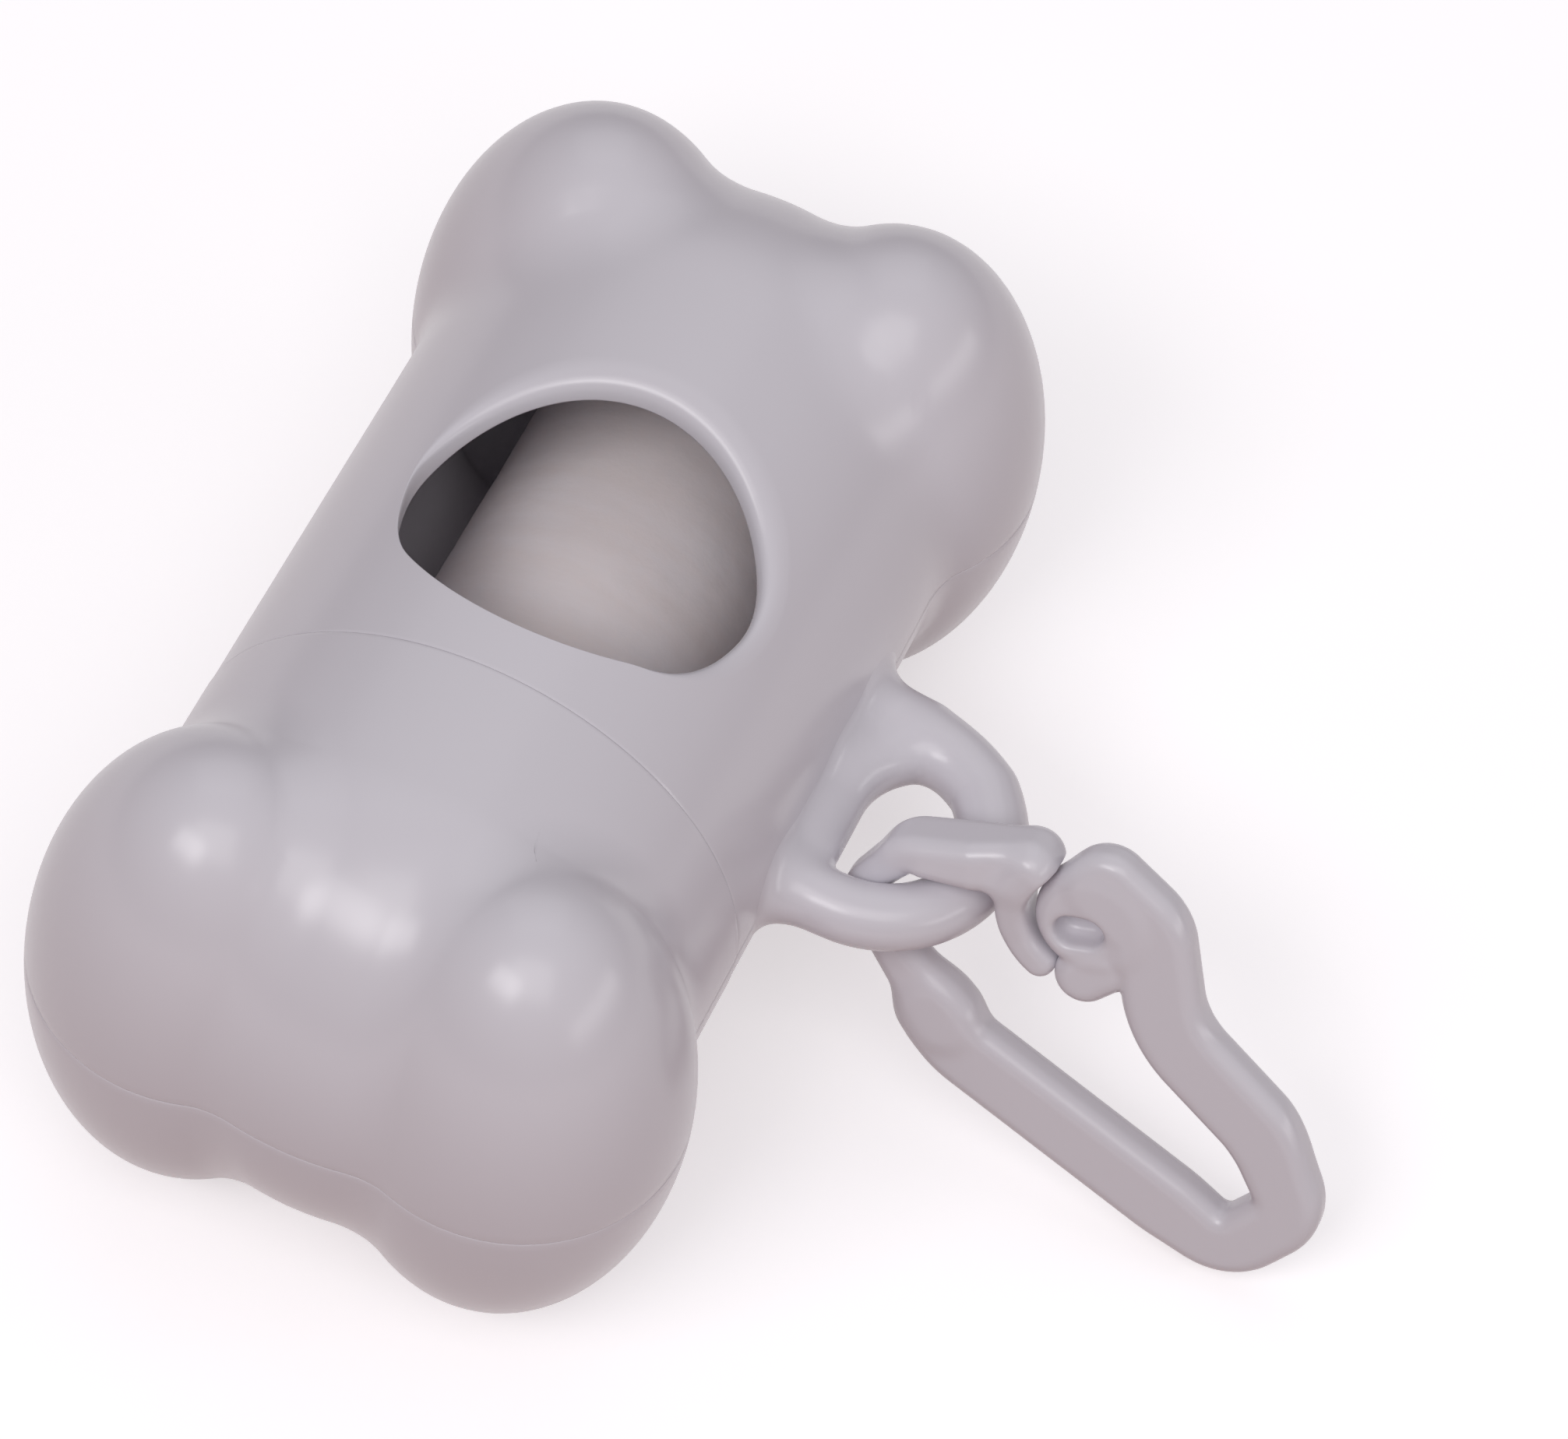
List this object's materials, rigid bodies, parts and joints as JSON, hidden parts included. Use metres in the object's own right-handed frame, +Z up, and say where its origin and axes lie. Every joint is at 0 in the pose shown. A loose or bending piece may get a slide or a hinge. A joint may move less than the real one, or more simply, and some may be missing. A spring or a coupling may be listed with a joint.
{
  "type": "pet waste bag dispenser",
  "caption": "Bone-shaped plastic dispenser for rolls of pet waste bags, with an oval bag window, a removable end cap, a side ring and a snap clip.",
  "frame": {"origin": "on the floor under the middle of the whole object, with its clip, as it lies on its back", "axes": "+Z up, out of the bag window; +Y along the bone, away from the cap; +X towards the side ring and clip"},
  "size_m": [0.0892, 0.088, 0.043],
  "materials": {
    "shell_plastic": "glossy moulded plastic, pale lilac grey",
    "clip_plastic": "glossy moulded plastic, pale lilac grey, springy",
    "bag_film": "thin film in wound layers, pale warm grey",
    "core_card": "plain grey-brown card"
  },
  "bodies": {
    "body": {"body_front_shell": "shell_plastic", "body_back_shell": "shell_plastic", "neck_ring": "shell_plastic"},
    "cap": {"cap_front_shell": "shell_plastic", "cap_back_shell": "shell_plastic", "cap_collar": "shell_plastic"},
    "roll": {"bag_roll": "bag_film", "roll_core": "core_card"},
    "clip": {"clip_frame": "clip_plastic"},
    "gate": {"clip_gate": "clip_plastic"}
  },
  "joints": [
    {"name": "cap_pull", "type": "slide", "parent": "body", "child": "cap", "axis": [0, -1, 0], "range_m": [0, 0.04]},
    {"name": "roll_spin", "type": "hinge", "parent": "body", "child": "roll", "pos_m": [-0.02027, 0, 0.0176], "axis": [0, 1, 0], "continuous": true},
    {"name": "clip_swing", "type": "hinge", "parent": "body", "child": "clip", "pos_m": [0.01184, -0.00255, 0.0215], "axis": [0.5, 0.866, 0], "range_deg": [-60, 80]},
    {"name": "gate_flex", "type": "hinge", "parent": "clip", "child": "gate", "pos_m": [0.04208, -0.00655, 0.00581], "axis": [0, 0.9659, -0.2588], "range_deg": [0, 12], "stiffness_Nm_per_rad": 0.4}
  ]
}
